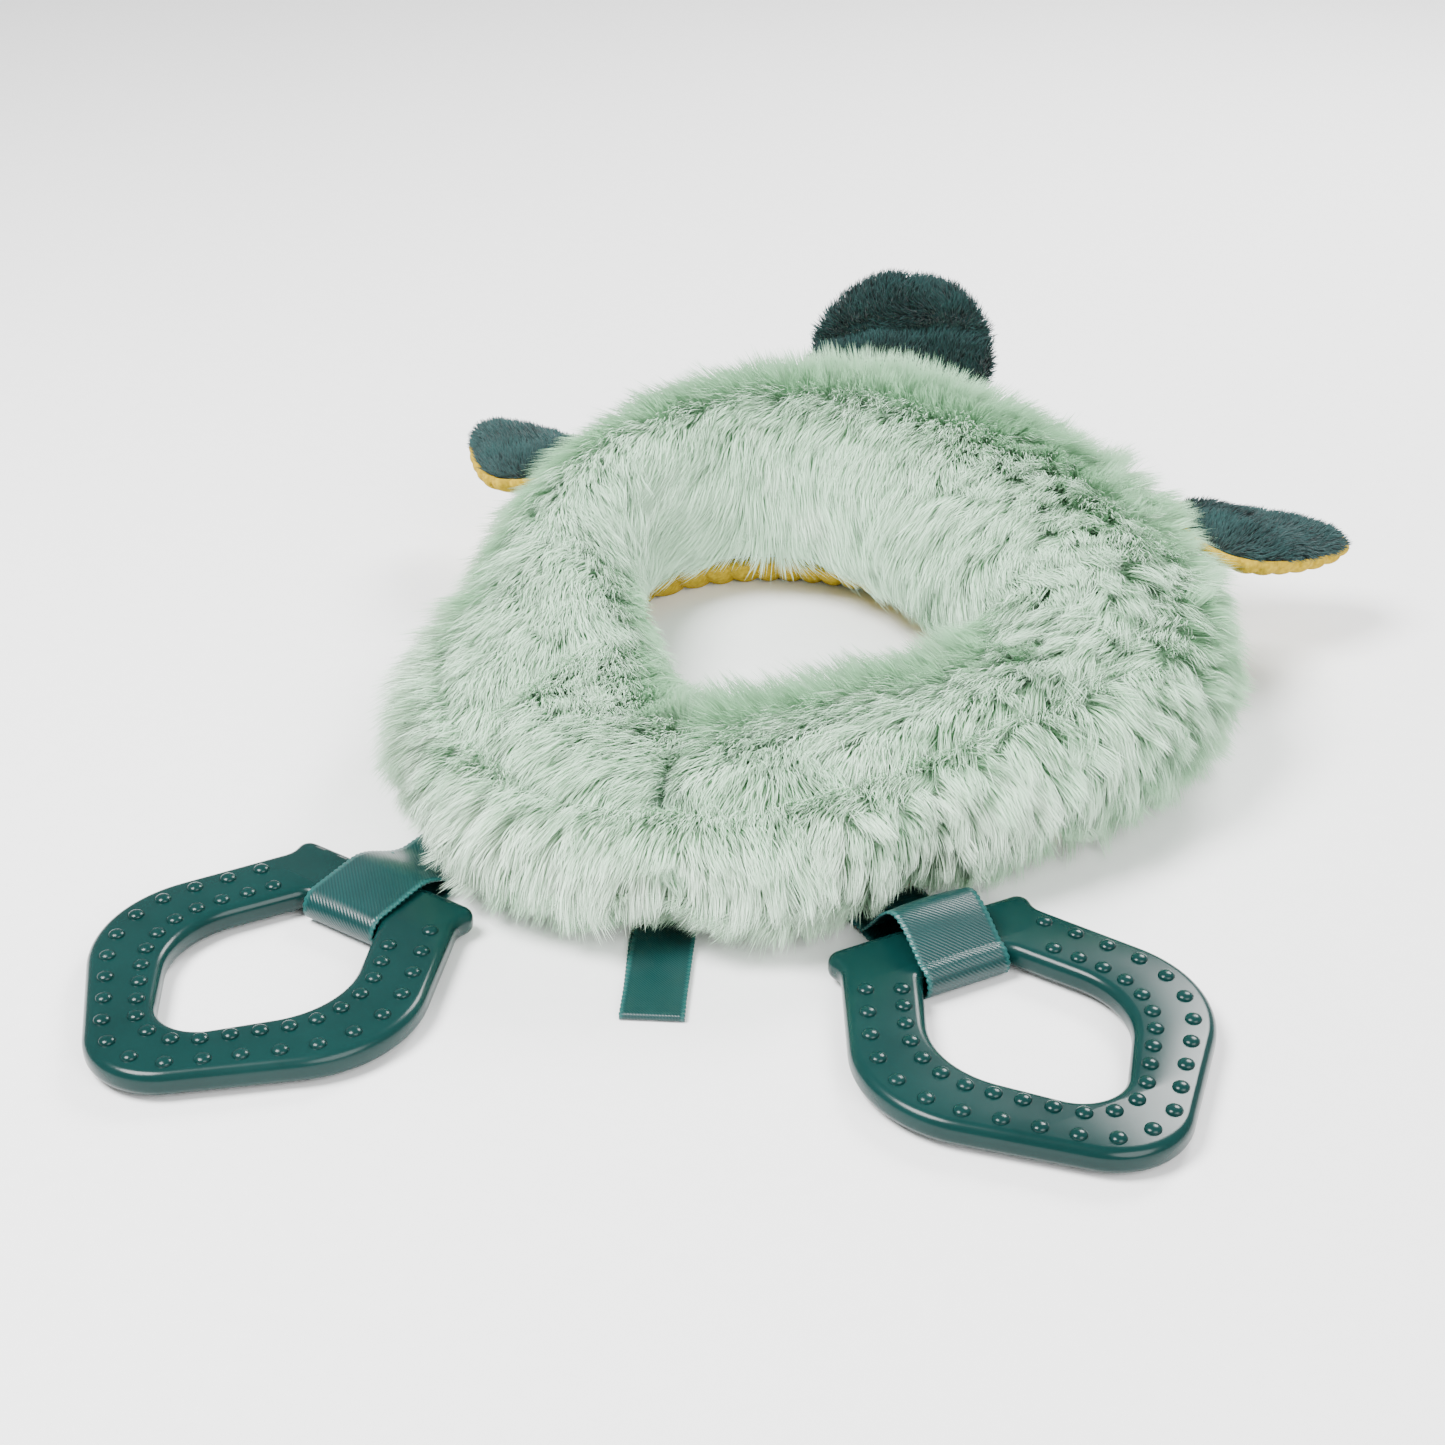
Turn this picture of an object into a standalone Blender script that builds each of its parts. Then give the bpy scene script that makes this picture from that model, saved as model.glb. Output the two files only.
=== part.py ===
"""A plush baby ring with two teether rings on ribbon loops, lying face down.

Metres, +Z up. +Y runs from the ring's middle to the padded crest, and the ribbons lie towards -Y. The
origin is the middle of the base of the whole object's bounding box. Lengths in the constants are millimetres.
"""
import math

import bmesh
import bpy
from mathutils import Matrix, Vector

MM = 0.001

# The plush ring. Its section is an oval of half-width HALF_WIDTH and half-height HALF_HEIGHT, swept round an
# uneven loop of radius LOOP_RADIUS. Each is a mean and its (cosine, sine) waves, once, twice... round it.
LOOP_RADIUS = (55.2, (0.0, 0.0), (-4.0, -0.6), (3.5, 1.5), (0.8, -1.2))
HALF_WIDTH = (21.1, (2.5, -1.5), (-2.5, 3.7))
HALF_HEIGHT = (18.2, (0.7, 3.8))
FLATTENED = 1.8  # how much of the section's height is lost where the ring lies on its face
RING_STEPS = 40

# Angles round the section, in degrees: -90 is the underside, 0 the outer side, 90 the top, 180 the hole.
OUTER_SEAM = -50
BAND_SEAM = 18
INNER_SEAM = 218
SEAM_HALF_GAP = 2.6  # degrees on each side of a seam
PLUSH = 5.0  # backing and pile
CORDUROY = 2.0
PILE_OVERHANG = 3.5  # how far the plush stands proud of the corduroy
FILLING_INSET = 6.3
FILLING_FLOOR = 2.5
FILLING_STEPS = 14  # points round its section
THREAD_RADIUS = 0.25
SEAM_DEPTH = 3.6  # how deep the thread lies in the seams between plush and corduroy

# The ribbons, flat in their rest pose.
LOOP_RIBBON_WIDTH = 15.0
TAG_RIBBON_WIDTH = 10.0
RIBBON = 0.4  # thickness of one layer
LOWER_LAYER = 0.25  # height of a layer's middle
UPPER_LAYER = 1.0
FOLD_RADIUS = 0.4  # of the turn at the tag's end
ROOT_HEIGHT = 0.6  # the line along which a ribbon bends where it is sewn in
LIFTS_FROM = 7.0  # a loop lies flat this far, while it is beneath the plush
CLIMB_SHARE = 0.59  # a loop has reached the bar's height by this share of what is left
WRAP_START = 0.4  # the turn round the bar starts this far before the bar's inner edge
WRAP_DEPTH = 2.8  # how far that turn bulges
STITCH = 0.4  # thickness of a line of sewing
STITCH_CLEARANCE = 0.3
LOOP_STITCH_AT = 12.0  # how far along the loop its sewn line lies, clear of the plush
LOOP_STITCH_LIFT = 0.3  # the layer beneath the stitch still climbs
STITCH_SIDE_GAP = 1.0  # the stitch stops this far from each edge of its ribbon

# A teether ring, measured from the middle of its hole with y towards its tip. Points are (x, y, round).
TEETHER_THICKNESS = 4.4
TEETHER_BASE = 0.8  # height of its underside
TEETHER_EDGE_ROUND = 1.4
OUTER_POINTS = ((0, 40.5, 13.0), (33.9, 7.4, 21.0), (18.2, -23.6, 3.6), (19.7, -28.2, 2.3))
HOLE_POINTS = ((0, 26.4, 7.6), (18.6, 4.1, 15.5), (7.7, -16.4, 3.4))
BAR_INNER = -16.4  # the straight bar that the ribbon holds lies between these two
BAR_OUTER = -28.2
BAR_CLEARANCE = 0.3
OVER_BAR = TEETHER_BASE + TEETHER_THICKNESS + BAR_CLEARANCE + RIBBON / 2  # height of a ribbon on the bar

# Where things are, in the ring's own plane: (x, y) of a bar's middle, and the direction its tip points.
SIDES = {
    "left": {"bar": (-50.1, -87.2), "heading": -107.8, "ribbon_reach": 24.5, "arch": 0.4},
    "right": {"bar": (43.9, -73.7), "heading": -45.5, "ribbon_reach": 20.2, "arch": 4.6},
}
TAG_ROOT = (-1.9, -76.1)
TAG_HEADING = -77.0
TAG_LENGTH = 26.2

# The padded flaps: place round the ring, (half-width, length, half-thickness), taper, and the lean in degrees
# from flat outwards (0) to upright (90). Roots stand ROOT_CLEARANCE off the plush.
FLAPS = {
    "right_ear": {"at": 34.0, "heading": 31.0, "lean": -11.0, "roll": 1.0,
                  "size": (12.0, 37.0, 4.6), "taper": 0.42},
    "left_ear": {"at": 147.0, "heading": 138.0, "lean": -3.0, "roll": -1.0,
                 "size": (11.5, 35.0, 4.6), "taper": 0.42},
    "crest": {"at": 93.0, "heading": 93.0, "lean": 62.0, "roll": 0.0,
              "size": (19.5, 29.5, 5.0), "taper": 0.06},
}
ROOT_CLEARANCE = 1.5
PAD_SQUARENESS = 2.5
PAD_SHELL = 1.5
PAD_FILLING_INSET = 2.2
PAD_SPLIT_HALF_GAP = 0.2

COLOURS = {
    "mint_fur": (0.49, 0.62, 0.51, 1.0, 0.95),
    "mustard_corduroy": (0.50, 0.37, 0.07, 1.0, 0.9),
    "teal_plush": (0.012, 0.045, 0.045, 1.0, 0.95),
    "teal_satin": (0.016, 0.098, 0.098, 1.0, 0.4),
    "teal_plastic": (0.014, 0.085, 0.080, 1.0, 0.25),
    "fibre": (0.85, 0.85, 0.82, 1.0, 1.0),
    "thread": (0.02, 0.11, 0.10, 1.0, 0.7),
    "pale_thread": (0.49, 0.62, 0.51, 1.0, 0.8),
}


# ---------------------------------------------------------------- helpers
def clear_scene():
    for thing in list(bpy.data.objects):
        bpy.data.objects.remove(thing, do_unlink=True)


def material(slot):
    if slot in bpy.data.materials:
        return bpy.data.materials[slot]
    made = bpy.data.materials.new(slot)
    made.use_nodes = True
    shader = made.node_tree.nodes["Principled BSDF"]
    red, green, blue, alpha, roughness = COLOURS[slot]
    shader.inputs["Base Color"].default_value = (red, green, blue, alpha)
    shader.inputs["Roughness"].default_value = roughness
    return made


def place(name, data, slot, matrix=None):
    """Make one named sub-part, given in millimetres, and put it in the world in metres."""
    thing = bpy.data.objects.new(name, data)
    data.materials.append(material(slot))
    collection.objects.link(thing)
    thing.matrix_world = (matrix or Matrix()).copy()
    return thing


def unit(degrees):
    return Vector((math.cos(math.radians(degrees)), math.sin(math.radians(degrees)), 0))


def wave(series, angle):
    total = series[0]
    for times, (cosine, sine) in enumerate(series[1:], start=1):
        total += cosine * math.cos(times * angle) + sine * math.sin(times * angle)
    return total


# ---------------------------------------------------------------- the plush ring
def ring_frame(degrees):
    """The loop's point and outward normal at a place round the ring."""
    step = 1e-4

    def on_loop(angle):
        radius = wave(LOOP_RADIUS, angle)
        return Vector((radius * math.cos(angle), radius * math.sin(angle), 0))

    angle = math.radians(degrees)
    along = (on_loop(angle + step) - on_loop(angle - step)).normalized()
    return on_loop(angle), Vector((along.y, -along.x, 0))


def ring_point(degrees, section_degrees, side_inset=0.0, height_inset=0.0, floor=0.0):
    """A point in millimetres on the ring's section, moved in by the insets and kept above the floor."""
    middle, outward = ring_frame(degrees)
    angle, turn = math.radians(degrees), math.radians(section_degrees)
    half_height = wave(HALF_HEIGHT, angle)
    across = (wave(HALF_WIDTH, angle) - side_inset) * math.cos(turn)
    height = half_height - FLATTENED + (half_height - height_inset) * math.sin(turn)
    point = middle + outward * across
    point.z = max(height, floor)
    return point


def spread(first, last, count):
    return [first + (last - first) * step / (count - 1) for step in range(count)]


def swept_ring(name, section_at):
    """Loft a closed section round the ring. section_at gives its points at a place round the ring."""
    bm = bmesh.new()
    rows = []
    for step in range(RING_STEPS):
        rows.append([bm.verts.new(point * MM) for point in section_at(360.0 * step / RING_STEPS)])
    for here, there in zip(rows, rows[1:] + rows[:1]):
        for column, after in zip(range(len(here)), [*range(1, len(here)), 0]):
            bm.faces.new((here[column], there[column], there[after], here[after]))
    bmesh.ops.recalc_face_normals(bm, faces=bm.faces)
    data = bpy.data.meshes.new(name)
    bm.to_mesh(data)
    bm.free()
    data.shade_smooth()
    return data


def ring_shell(name, first, last, count, thickness, slot, proud=0.0):
    """A strip of the ring's wall between two seams, set in by proud and as thick as asked."""
    turns = spread(first + SEAM_HALF_GAP, last - SEAM_HALF_GAP, count)

    def section_at(degrees):
        outside = [ring_point(degrees, turn, proud) for turn in turns]
        deep = proud + thickness
        inside = [ring_point(degrees, turn, deep, thickness, thickness) for turn in reversed(turns)]
        return outside + inside

    place(name, swept_ring(name, section_at), slot)


def seam_thread(name, section_degrees, depth, slot):
    """One closed run of sewing thread, a little inside the plush's outer surface."""
    curve = bpy.data.curves.new(name, "CURVE")
    curve.dimensions = "3D"
    curve.bevel_depth = THREAD_RADIUS * MM
    curve.bevel_resolution = 0
    spline = curve.splines.new("POLY")
    spline.points.add(RING_STEPS - 1)
    spline.use_cyclic_u = True
    for step, point in enumerate(spline.points):
        degrees = 360.0 * step / RING_STEPS
        point.co = (*(ring_point(degrees, section_degrees, depth, depth) * MM), 1.0)
    return place(name, curve, slot)


def build_ring():
    ring_shell("front_cover", INNER_SEAM - 360, OUTER_SEAM, 11, CORDUROY, "mustard_corduroy", PILE_OVERHANG)
    ring_shell("outer_band", OUTER_SEAM, BAND_SEAM, 6, PLUSH, "mint_fur")
    ring_shell("back_cover", BAND_SEAM, INNER_SEAM, 12, PLUSH, "mint_fur")

    def filling_at(degrees):
        turns = [360.0 * step / FILLING_STEPS for step in range(FILLING_STEPS)]
        return [ring_point(degrees, turn, FILLING_INSET, FILLING_INSET, FILLING_FLOOR) for turn in turns]

    place("fibre_filling", swept_ring("fibre_filling", filling_at), "fibre")
    seam_thread("band_seam_thread", BAND_SEAM, 0.0, "pale_thread")
    seam_thread("outer_seam_thread", OUTER_SEAM, SEAM_DEPTH, "pale_thread")
    seam_thread("inner_seam_thread", INNER_SEAM, SEAM_DEPTH, "pale_thread")


# ---------------------------------------------------------------- padded flaps
def pad_outline(angle, half_width, half_length, taper):
    """A rounded, tapered outline about its own middle, with y towards the tip."""
    power = 2.0 / PAD_SQUARENESS
    x = math.copysign(abs(math.cos(angle)) ** power, math.cos(angle))
    y = math.copysign(abs(math.sin(angle)) ** power, math.sin(angle))
    return Vector((half_width * x * (1 - taper * y), half_length * y, 0))


def pad_mesh(name, size, taper, inset, side):
    """A sphere drawn out to a flat pad, inset all round, with side 0.

    With side 1 or -1 it is one cover of that pad: the sphere's far half is folded in to line the near half.
    """
    half_width, length, half_thickness = size
    bm = bmesh.new()
    bmesh.ops.create_uvsphere(bm, u_segments=20, v_segments=8, radius=1.0)
    for vert in bm.verts:
        lining = side != 0 and vert.co.z * side < -0.001
        deep = PAD_SHELL if lining else inset
        angle = math.atan2(vert.co.y, vert.co.x)
        share = math.hypot(vert.co.x, vert.co.y)
        flat = pad_outline(angle, half_width - deep, length / 2 - deep, taper) * share
        height = (half_thickness - deep) * vert.co.z * (-1 if lining else 1) + side * PAD_SPLIT_HALF_GAP
        vert.co = Vector((flat.x, flat.y + length / 2, height)) * MM
    bmesh.ops.recalc_face_normals(bm, faces=bm.faces)
    data = bpy.data.meshes.new(name)
    bm.to_mesh(data)
    bm.free()
    data.shade_smooth()
    return data


def flap_matrix(flap):
    """A flap's own frame: x along its hinge, y along its length, z out of its back."""
    _, outward = ring_frame(flap["at"])
    section = math.radians(BAND_SEAM)
    off_surface = outward * math.cos(section) + Vector((0, 0, math.sin(section)))
    root = ring_point(flap["at"], BAND_SEAM) + off_surface * ROOT_CLEARANCE
    lean = math.radians(flap["lean"])
    along = unit(flap["heading"]) * math.cos(lean) + Vector((0, 0, math.sin(lean)))
    across = Vector((0, 0, 1)).cross(unit(flap["heading"])) * -1
    rolled = Matrix.Rotation(math.radians(flap["roll"]), 3, along) @ across
    back = rolled.cross(along)
    turned = Matrix((rolled, along, back)).transposed().to_4x4()
    return Matrix.Translation(root * MM) @ turned


def build_flap(name, flap, front_slot):
    matrix = flap_matrix(flap)
    for part, side, inset, slot in (("back", 1, 0.0, "teal_plush"), ("front", -1, 0.0, front_slot),
                                    ("filling", 0, PAD_FILLING_INSET, "fibre")):
        data = pad_mesh(f"{name}_{part}", flap["size"], flap["taper"], inset, side)
        place(f"{name}_{part}", data, slot, matrix)


# ---------------------------------------------------------------- teether rings
def rounded_outline(points):
    """A closed outline through the corner points, each corner an arc of its own radius, mirrored in x."""
    corners = [Vector((x, y)) for x, y, _ in points]
    rounds = [radius for _, _, radius in points]
    for x, y, radius in reversed([point for point in points if point[0] > 0]):
        corners.append(Vector((-x, y)))
        rounds.append(radius)
    outline = []
    for index, corner in enumerate(corners):
        before = (corners[index - 1] - corner).normalized()
        after = (corners[(index + 1) % len(corners)] - corner).normalized()
        half = before.angle(after) / 2
        centre = corner + (before + after).normalized() * rounds[index] / math.sin(half)
        start = corner + before * rounds[index] / math.tan(half) - centre
        turn = (math.pi - 2 * half) * (1 if before.cross(after) > 0 else -1)
        steps = max(2, round(math.degrees(abs(turn)) / 14))
        for step in range(steps + 1):
            outline.append(centre + Matrix.Rotation(-turn * step / steps, 2) @ start)
    return outline


def plate_curve(name, outlines):
    """A flat outline with a hole, extruded to the teether's thickness with rounded edges."""
    curve = bpy.data.curves.new(name, "CURVE")
    curve.dimensions = "2D"
    curve.fill_mode = "BOTH"
    curve.extrude = (TEETHER_THICKNESS / 2 - TEETHER_EDGE_ROUND) * MM
    curve.bevel_depth = TEETHER_EDGE_ROUND * MM
    curve.bevel_resolution = 1
    curve.offset = -TEETHER_EDGE_ROUND * MM
    for outline in outlines:
        spline = curve.splines.new("POLY")
        spline.points.add(len(outline) - 1)
        spline.use_cyclic_u = True
        for point, corner in zip(spline.points, outline):
            point.co = (corner.x * MM, corner.y * MM, 0, 1)
    return curve


def heading_matrix(position, heading):
    """A level frame at a place, with y along the heading."""
    turned = Matrix.Rotation(math.radians(heading - 90), 4, "Z")
    return Matrix.Translation(Vector(position) * MM) @ turned


def build_teether(side):
    """A teether ring, with its origin in the middle of the bar that its ribbon holds."""
    spec = SIDES[side]
    bar_middle = Vector((0, (BAR_INNER + BAR_OUTER) / 2))
    outlines = []
    for points in (OUTER_POINTS, HOLE_POINTS):
        outlines.append([corner - bar_middle for corner in rounded_outline(points)])
    curve = plate_curve(f"{side}_teether", outlines)
    matrix = heading_matrix((*spec["bar"], TEETHER_BASE + TEETHER_THICKNESS / 2), spec["heading"])
    teether = place(f"{side}_teether", curve, "teal_plastic", matrix)
    weld = teether.modifiers.new("join caps", "WELD")
    weld.merge_threshold = 0.00001


# ---------------------------------------------------------------- ribbons
def strip_mesh(name, path, width):
    """A flat strip: a path of (along, height) points drawn out sideways to the ribbon's width."""
    bm = bmesh.new()
    line = [bm.verts.new(Vector((-width / 2, along, height - ROOT_HEIGHT)) * MM) for along, height in path]
    edges = [bm.edges.new(pair) for pair in zip(line, line[1:])]
    drawn = bmesh.ops.extrude_edge_only(bm, edges=edges)["geom"]
    moved = [item for item in drawn if isinstance(item, bmesh.types.BMVert)]
    bmesh.ops.translate(bm, verts=moved, vec=Vector((width * MM, 0, 0)))
    data = bpy.data.meshes.new(name)
    bm.to_mesh(data)
    bm.free()
    data.shade_smooth()
    return data


def build_strip(name, path, width, matrix):
    strip = place(name, strip_mesh(name, path, width), "teal_satin", matrix)
    solidify = strip.modifiers.new("thickness", "SOLIDIFY")
    solidify.thickness = RIBBON * MM
    solidify.offset = 0.0


def upper_height(along, reach, arch):
    """The height of a loop's upper layer: flat beneath the plush, then up and over the bar."""
    end = reach + (BAR_INNER - BAR_OUTER) / 2 - WRAP_START
    share = min(max((along - LIFTS_FROM) / (end - LIFTS_FROM), 0.0), 1.0)
    rise = min(1.0, share / CLIMB_SHARE)
    climb = rise * rise * (3 - 2 * rise)
    return UPPER_LAYER + (OVER_BAR - UPPER_LAYER) * climb + arch * math.sin(math.pi * share)


def loop_path(reach, arch):
    """Out over the bar, round its inner edge and back beneath it, as (along, height) from the seam."""
    end = reach + (BAR_INNER - BAR_OUTER) / 2 - WRAP_START
    upper = [(0.0, UPPER_LAYER)]
    for along in spread(LIFTS_FROM, end, 11):
        upper.append((along, upper_height(along, reach, arch)))
    wrap_middle, wrap_radius = (OVER_BAR + LOWER_LAYER) / 2, (OVER_BAR - LOWER_LAYER) / 2
    wrap = []
    for step in range(1, 8):
        turn = math.radians(90 - 180 * step / 8)
        wrap.append((end + WRAP_DEPTH * math.cos(turn), wrap_middle + wrap_radius * math.sin(turn)))
    lower = [(end, LOWER_LAYER), (reach / 2, LOWER_LAYER), (0.0, LOWER_LAYER)]
    return upper + wrap + lower


def build_stitch(name, along, height, width, matrix):
    """A line of sewing across a ribbon, lying on its upper layer."""
    bm = bmesh.new()
    bmesh.ops.create_cube(bm, size=1.0)
    lifted = height - ROOT_HEIGHT + RIBBON / 2 + STITCH_CLEARANCE + STITCH / 2
    for vert in bm.verts:
        vert.co = Vector((vert.co.x * width, vert.co.y * STITCH + along, vert.co.z * STITCH + lifted)) * MM
    data = bpy.data.meshes.new(name)
    bm.to_mesh(data)
    bm.free()
    place(name, data, "thread", matrix)


def build_ribbons():
    for side, spec in SIDES.items():
        reach, arch = spec["ribbon_reach"], spec["arch"]
        root = Vector(spec["bar"]) - unit(spec["heading"]).to_2d() * reach
        matrix = heading_matrix((*root, ROOT_HEIGHT), spec["heading"])
        build_strip(f"{side}_ribbon_loop", loop_path(reach, arch), LOOP_RIBBON_WIDTH, matrix)
        height = upper_height(LOOP_STITCH_AT, reach, arch)
        build_stitch(f"{side}_loop_stitch", LOOP_STITCH_AT, height + LOOP_STITCH_LIFT,
                     LOOP_RIBBON_WIDTH - 2 * STITCH_SIDE_GAP, matrix)
    fold = TAG_LENGTH - FOLD_RADIUS
    tag_path = [(0.0, UPPER_LAYER), (fold, UPPER_LAYER), (TAG_LENGTH, (UPPER_LAYER + LOWER_LAYER) / 2),
                (fold, LOWER_LAYER), (0.0, LOWER_LAYER)]
    matrix = heading_matrix((*TAG_ROOT, ROOT_HEIGHT), TAG_HEADING)
    build_strip("ribbon_tag", tag_path, TAG_RIBBON_WIDTH, matrix)


# ---------------------------------------------------------------- the whole object
def centre_on_base():
    """Move everything so that the origin is the middle of the base of the bounding box."""
    bpy.context.view_layer.update()
    graph = bpy.context.evaluated_depsgraph_get()
    corners = []
    for thing in collection.objects:
        shown = thing.evaluated_get(graph)
        mesh = shown.to_mesh()
        corners += [shown.matrix_world @ vert.co for vert in mesh.vertices]
        shown.to_mesh_clear()
    low = [min(corner[axis] for corner in corners) for axis in range(3)]
    high = [max(corner[axis] for corner in corners) for axis in range(3)]
    shift = Vector((-(low[0] + high[0]) / 2, -(low[1] + high[1]) / 2, -low[2]))
    for thing in collection.objects:
        thing.matrix_world = Matrix.Translation(shift) @ thing.matrix_world


clear_scene()
collection = bpy.data.collections.new("plush_teething_ring")
bpy.context.scene.collection.children.link(collection)
build_ring()
for flap_name, flap_spec in FLAPS.items():
    build_flap(flap_name, flap_spec, "teal_plush" if flap_name == "crest" else "mustard_corduroy")
for side_name in SIDES:
    build_teether(side_name)
build_ribbons()
centre_on_base()
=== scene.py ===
"""The looks of the plush ring with its two teether rings: fur, corduroy, satin and moulded plastic.

Lengths in the constants and in the shape functions are millimetres; meshes are written in metres. Angles
round the ring and round its section are the CAD's: 0 is +X and 90 +Y round the ring; round the section -90
is the underside, 0 the outer side, 90 the top and 180 the hole.
"""
import math

import bpy
import numpy as np
from mathutils import Matrix, Vector, kdtree


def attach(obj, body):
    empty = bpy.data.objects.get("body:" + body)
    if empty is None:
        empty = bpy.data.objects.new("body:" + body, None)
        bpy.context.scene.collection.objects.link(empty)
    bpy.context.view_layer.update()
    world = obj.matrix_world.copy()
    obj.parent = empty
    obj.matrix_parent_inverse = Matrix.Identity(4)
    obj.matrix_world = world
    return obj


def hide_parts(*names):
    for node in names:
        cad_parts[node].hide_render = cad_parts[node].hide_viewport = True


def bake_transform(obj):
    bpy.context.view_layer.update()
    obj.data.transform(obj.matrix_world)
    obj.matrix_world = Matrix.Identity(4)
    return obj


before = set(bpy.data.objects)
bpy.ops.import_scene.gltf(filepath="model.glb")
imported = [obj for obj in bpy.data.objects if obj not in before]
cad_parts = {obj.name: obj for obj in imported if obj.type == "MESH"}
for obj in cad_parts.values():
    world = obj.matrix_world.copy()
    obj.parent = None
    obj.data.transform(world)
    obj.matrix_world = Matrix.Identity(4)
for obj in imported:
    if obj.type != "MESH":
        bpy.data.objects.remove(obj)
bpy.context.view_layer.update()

MM = 0.001
RANDOM = np.random.default_rng(11)

# ---- the CAD's measures, repeated
RING_MIDDLE = (-3.6, 23.37)
LOOP_RADIUS = (55.2, (0.0, 0.0), (-4.0, -0.6), (3.5, 1.5), (0.8, -1.2))
HALF_WIDTH = (21.1, (2.5, -1.5), (-2.5, 3.7))
HALF_HEIGHT = (18.2, (0.7, 3.8))
FLATTENED = 1.8
OUTER_SEAM = -50.0
BAND_SEAM = 18.0
INNER_SEAM = 218.0
PILE_OVERHANG = 3.5
ROOT_CLEARANCE = 1.5
PAD_SQUARENESS = 2.5
FLAPS = {
    "right_ear": {"at": 34.0, "heading": 31.0, "lean": -11.0, "roll": 1.0,
                  "size": (12.0, 37.0, 4.6), "taper": 0.42},
    "left_ear": {"at": 147.0, "heading": 138.0, "lean": -3.0, "roll": -1.0,
                 "size": (11.5, 35.0, 4.6), "taper": 0.42},
    "crest": {"at": 93.0, "heading": 93.0, "lean": 62.0, "roll": 0.0,
              "size": (19.5, 29.5, 5.0), "taper": 0.06},
}
LOOP_RIBBON_WIDTH = 15.0
TAG_RIBBON_WIDTH = 10.0
RIBBON = 0.4
LOWER_LAYER = 0.25
UPPER_LAYER = 1.0
LIFTS_FROM = 7.0
WRAP_START = 0.4
WRAP_DEPTH = 2.8
LOOP_STITCH_AT = 12.0
TEETHER_THICKNESS = 4.4
TEETHER_BASE = 0.8
OUTER_POINTS = ((0, 40.5, 13.0), (33.9, 7.4, 21.0), (18.2, -23.6, 3.6), (19.7, -28.2, 2.3))
HOLE_POINTS = ((0, 26.4, 7.6), (18.6, 4.1, 15.5), (7.7, -16.4, 3.4))
BAR_INNER = -16.4
BAR_OUTER = -28.2
OVER_BAR = TEETHER_BASE + TEETHER_THICKNESS + 0.3 + RIBBON / 2
SIDES = {
    "left": {"bar": (-50.1, -87.2), "heading": -107.8, "ribbon_reach": 24.5, "arch": 0.4},
    "right": {"bar": (43.9, -73.7), "heading": -45.5, "ribbon_reach": 20.2, "arch": 4.6},
}
TAG_ROOT = (-1.9, -76.1)
TAG_HEADING = -77.0
TAG_LENGTH = 26.2

# ---- the fur
SKIN_INSET = 4.2  # the backing lies this far beneath the CAD's outer surface
FUR_DENSITY = 7.4  # strands per square millimetre
FUR_LENGTH = 11.5
STRAND_WIDTH = 0.28
CLUMP_SPACING = 2.7
FUR_RINGS = 4  # points along a strand
MOST_STRANDS_A_PIECE = 38000
NAP = (0.10, -1.0, -0.38)  # the way the pile is combed: towards the ribbons, and down
FLOOR_GAP = 0.25
BACK_SEAM = 266.0  # where the back cover's ends are sewn together, in degrees round the ring
# where the fur parts over a ribbon: the place in degrees, its width and how much shorter the fur is
PARTINGS = ((268.0, 5.0, 0.5), (297.5, 8.0, 0.5), (237.0, 6.0, 0.3))
FUR_ROLL = 14.0  # how far the strands roll about their length, in degrees
PILE_ROLL = 35.0
BACKING_THICKNESS = 0.8
COVER_THICKNESS = 2.4
PILE_INSET = 0.9  # the short plush roots this far beneath the surface of a flap
FLAP_STUFFING_INSET = 2.6
STUFFING_INSET = 6.3
STUFFING_FLOOR = 2.6

# ---- corduroy
WALE_PITCH = 4.4
WALE_DEPTH = 1.1


# ---------------------------------------------------------------- vectors
def dot(first, second):
    return np.sum(first * second, axis=-1, keepdims=True)


def unit_rows(rows):
    return rows / np.maximum(np.linalg.norm(rows, axis=-1, keepdims=True), 1e-9)


def smooth_step(value, low, high):
    share = np.clip((value - low) / (high - low), 0.0, 1.0)
    return share * share * (3 - 2 * share)


def soft_noise(points, scale, seed):
    """Smooth noise from about -1 to 1, made of a few sine waves in different directions."""
    waves = np.random.default_rng(seed)
    total = np.zeros(len(points))
    for _ in range(7):
        direction = unit_rows(waves.normal(size=(1, 3)))[0]
        length = scale * waves.uniform(0.6, 1.7)
        total += np.sin(points @ direction * (2 * math.pi / length) + waves.uniform(0, 2 * math.pi))
    return total / 3.0


# ---------------------------------------------------------------- the ring's surface
def wave(series, angle):
    total = series[0]
    for times, (cosine, sine) in enumerate(series[1:], start=1):
        total = total + cosine * np.cos(times * angle) + sine * np.sin(times * angle)
    return total


def loop_point(angle):
    radius = wave(LOOP_RADIUS, angle)
    return np.stack([radius * np.cos(angle), radius * np.sin(angle)], axis=-1)


def ring_surface(degrees, section_degrees, side_inset=0.0, height_inset=0.0, floor=0.0):
    """Points on the ring's section, in millimetres in the world, moved in by the insets."""
    degrees, section_degrees = np.broadcast_arrays(degrees, section_degrees)
    angle, turn = np.radians(degrees), np.radians(section_degrees)
    middle = loop_point(angle)
    along = unit_rows(loop_point(angle + 1e-4) - loop_point(angle - 1e-4))
    outward = np.stack([along[..., 1], -along[..., 0]], axis=-1)
    across = (wave(HALF_WIDTH, angle) - side_inset) * np.cos(turn)
    half_height = wave(HALF_HEIGHT, angle)
    height = half_height - FLATTENED + (half_height - height_inset) * np.sin(turn)
    flat = middle + outward * across[..., None] + np.array(RING_MIDDLE)
    return np.concatenate([flat, np.maximum(height, floor)[..., None]], axis=-1)


def groove(value, middle, width):
    return np.exp(-(((value - middle) / width) ** 2))


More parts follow.
